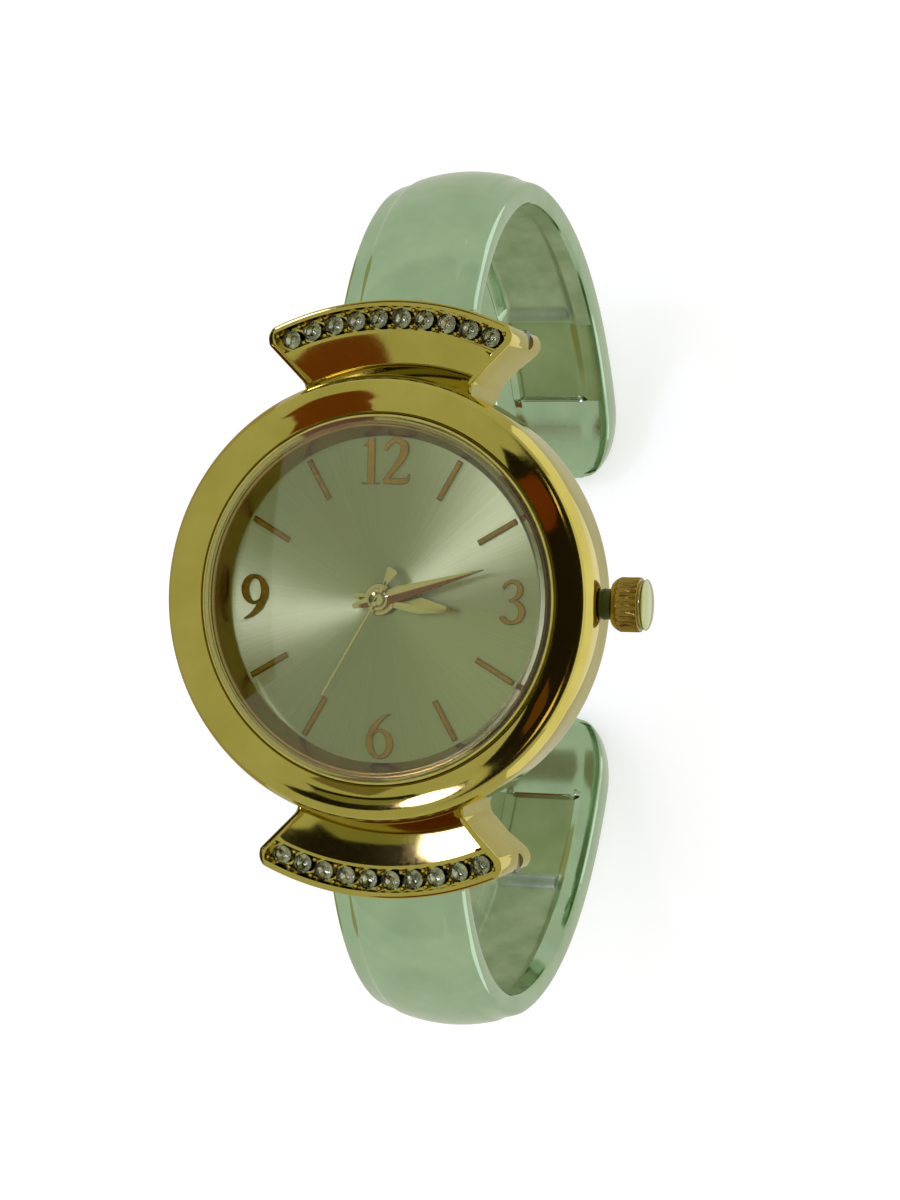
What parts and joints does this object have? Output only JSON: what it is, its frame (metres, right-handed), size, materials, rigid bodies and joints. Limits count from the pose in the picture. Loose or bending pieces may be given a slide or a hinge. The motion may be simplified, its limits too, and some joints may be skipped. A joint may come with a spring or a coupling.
{
  "type": "bracelet watch",
  "caption": "Round quartz wristwatch head with fan-shaped stone-set lugs, fluted crown and two sprung bangle arms that form an open cuff.",
  "frame": {"origin": "middle of the flat outer face of the case back", "axes": "+X toward 3 o'clock and the crown, +Y toward 12 o'clock, +Z out of the dial"},
  "size_m": [0.0352, 0.068, 0.0536],
  "materials": {
    "gold_plate": "polished yellow gold plating",
    "silver_plate": "polished silver-coloured plating",
    "steel": "stainless steel",
    "mineral_glass": "clear flat glass with a bevelled rim",
    "cut_stone": "clear cut glass stones",
    "dial_silver": "silver sunburst",
    "white_nylon": "white nylon",
    "black_rubber": "black rubber",
    "wheel_brass": "plain brass",
    "coil_copper": "enamelled copper winding",
    "board_green": "solder mask",
    "black_epoxy": "black epoxy"
  },
  "bodies": {
    "case": {"case_body": "gold_plate", "bezel": "gold_plate", "crystal": "mineral_glass", "crystal_gasket": "white_nylon", "dial_ring": "gold_plate", "dial": "dial_silver", "hour_markers": "gold_plate", "numerals": "gold_plate", "upper_stones": "cut_stone", "lower_stones": "cut_stone", "case_back": "steel", "case_back_gasket": "black_rubber", "movement_ring": "white_nylon", "stem_tube": "steel", "main_plate": "steel", "train_bridge": "steel", "bridge_screws": "steel", "stator": "steel", "coil": "coil_copper", "circuit_board": "board_green", "quartz_can": "steel", "chip": "black_epoxy", "battery": "steel", "battery_strap": "steel", "upper_hinge_pin": "steel", "lower_hinge_pin": "steel", "upper_hinge_spring": "steel", "lower_hinge_spring": "steel"},
    "upper_cuff": {"upper_cuff_arm": "silver_plate"},
    "lower_cuff": {"lower_cuff_arm": "silver_plate"},
    "clutch": {"clutch_wheel": "steel"},
    "crown": {"crown": "gold_plate", "stem": "steel", "crown_seal": "black_rubber"},
    "lever": {"setting_lever": "steel"},
    "seconds": {"second_hand": "gold_plate", "second_wheel": "wheel_brass"},
    "minutes": {"minute_hand": "gold_plate", "centre_wheel": "wheel_brass"},
    "hours": {"hour_hand": "gold_plate", "hour_wheel": "wheel_brass"},
    "third": {"third_wheel": "wheel_brass"},
    "step": {"step_wheel": "wheel_brass"},
    "motor": {"rotor": "steel"},
    "works": {"minute_wheel": "wheel_brass"}
  },
  "joints": [
    {"name": "upper_cuff_hinge", "type": "hinge", "parent": "case", "child": "upper_cuff", "pos_m": [0, 0.019, 0.0001], "axis": [1, 0, 0], "range_deg": [0, 20], "stiffness_Nm_per_rad": 0.05, "springref_deg": -11.46},
    {"name": "lower_cuff_hinge", "type": "hinge", "parent": "case", "child": "lower_cuff", "pos_m": [0, -0.019, 0.0001], "axis": [-1, 0, 0], "range_deg": [0, 20], "stiffness_Nm_per_rad": 0.05, "springref_deg": -11.46},
    {"name": "crown_turn", "type": "hinge", "parent": "case", "child": "clutch", "pos_m": [0, 0, 0.003], "axis": [1, 0, 0], "continuous": true},
    {"name": "crown_pull", "type": "slide", "parent": "clutch", "child": "crown", "axis": [1, 0, 0], "range_m": [0, 0.0009]},
    {"name": "lever_swing", "type": "hinge", "parent": "case", "child": "lever", "pos_m": [0.0058, 0.00175, 0.00232], "axis": [0, 0, 1], "range_deg": [0, 39.6]},
    {"name": "second_turn", "type": "hinge", "parent": "case", "child": "seconds", "pos_m": [0, 0, 0.005], "axis": [0, 0, -1], "continuous": true},
    {"name": "minute_turn", "type": "hinge", "parent": "case", "child": "minutes", "pos_m": [0, 0, 0.005], "axis": [0, 0, -1], "continuous": true},
    {"name": "hour_turn", "type": "hinge", "parent": "case", "child": "hours", "pos_m": [0, 0, 0.005], "axis": [0, 0, -1], "continuous": true},
    {"name": "third_turn", "type": "hinge", "parent": "case", "child": "third", "pos_m": [-0.00249, -0.00144, 0.003], "axis": [0, 0, -1], "continuous": true},
    {"name": "step_turn", "type": "hinge", "parent": "case", "child": "step", "pos_m": [0.00144, -0.00249, 0.003], "axis": [0, 0, -1], "continuous": true},
    {"name": "motor_turn", "type": "hinge", "parent": "case", "child": "motor", "pos_m": [0.00183, -0.0047, 0.003], "axis": [0, 0, -1], "continuous": true},
    {"name": "works_turn", "type": "hinge", "parent": "case", "child": "works", "pos_m": [0.0012, 0.00208, 0.0042], "axis": [0, 0, -1], "continuous": true}
  ],
  "couplings": [
    {"joint": "minute_turn", "follows": "second_turn", "ratio": 0.016667},
    {"joint": "hour_turn", "follows": "second_turn", "ratio": 0.0013889},
    {"joint": "third_turn", "follows": "second_turn", "ratio": -0.13333},
    {"joint": "step_turn", "follows": "second_turn", "ratio": -5},
    {"joint": "motor_turn", "follows": "second_turn", "ratio": 30},
    {"joint": "works_turn", "follows": "second_turn", "ratio": -0.0055556},
    {"joint": "lever_swing", "follows": "crown_pull", "rad_per_m": 767.9}
  ]
}
